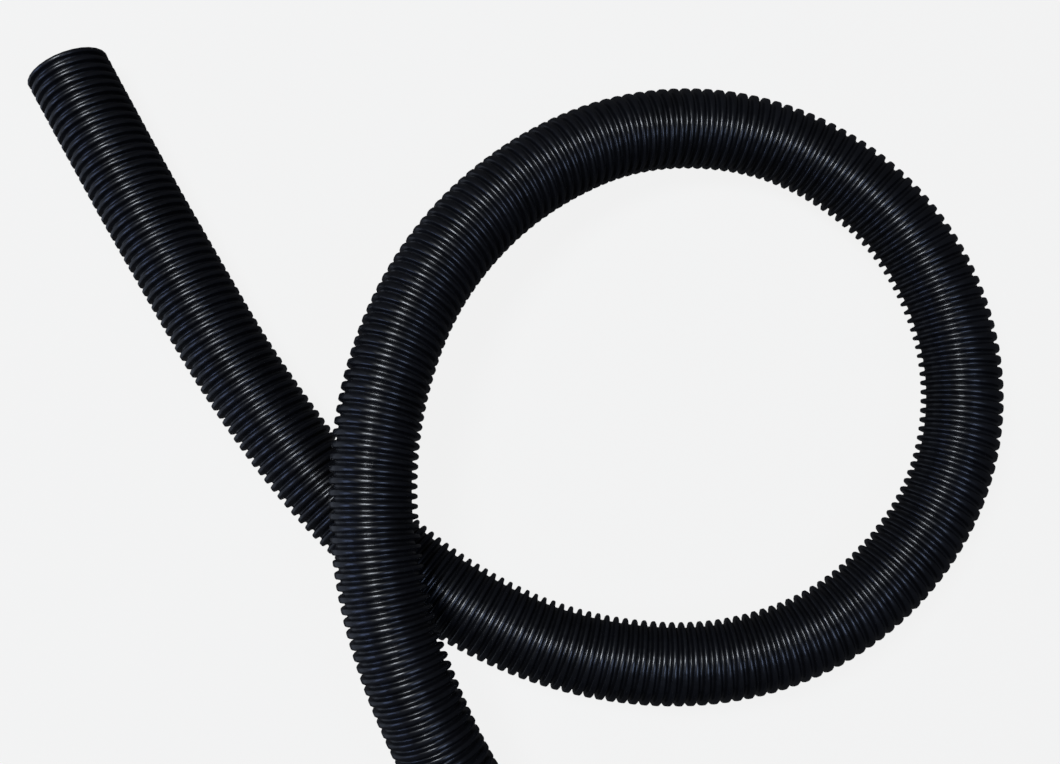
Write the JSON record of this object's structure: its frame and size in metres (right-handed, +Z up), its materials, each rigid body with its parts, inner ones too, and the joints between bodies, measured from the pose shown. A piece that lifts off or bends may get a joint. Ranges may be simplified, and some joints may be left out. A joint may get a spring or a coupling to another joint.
{
  "type": "vacuum hose",
  "caption": "Black spiral-ribbed vacuum hose lying in one open loop, with a bare cut end and a swivel cuff at the other end that pushes onto a vacuum head or skimmer fitting.",
  "frame": {"origin": "on the floor that the hose lies on, under the middle of the bounding box", "axes": "+Z up from the floor, +X to the right and +Y away from the viewer who sees the bare cut end at the upper left and the swivel cuff below"},
  "size_m": [0.5833, 0.6233, 0.097],
  "materials": {
    "hose_black": "glossy black with a cool tint, softly worn on the rib crests",
    "cuff_black": "moulded black, fine satin grain",
    "ferrule_black": "moulded dark grey-black, satin",
    "seal_rubber": "matte black rubber, lightly greased",
    "washer_white": "natural white acetal",
    "ring_steel": "bright stainless spring wire"
  },
  "bodies": {
    "hose_line": {"hose": "hose_black", "threaded_ferrule": "ferrule_black", "o_ring": "seal_rubber", "thrust_washer": "washer_white"},
    "cuff": {"swivel_cuff": "cuff_black", "snap_ring": "ring_steel"}
  },
  "joints": [
    {"name": "cuff_swivel", "type": "hinge", "parent": "hose_line", "child": "cuff", "pos_m": [0.232, -0.278, 0.032], "axis": [0.9817, -0.1905, 0], "continuous": true}
  ]
}
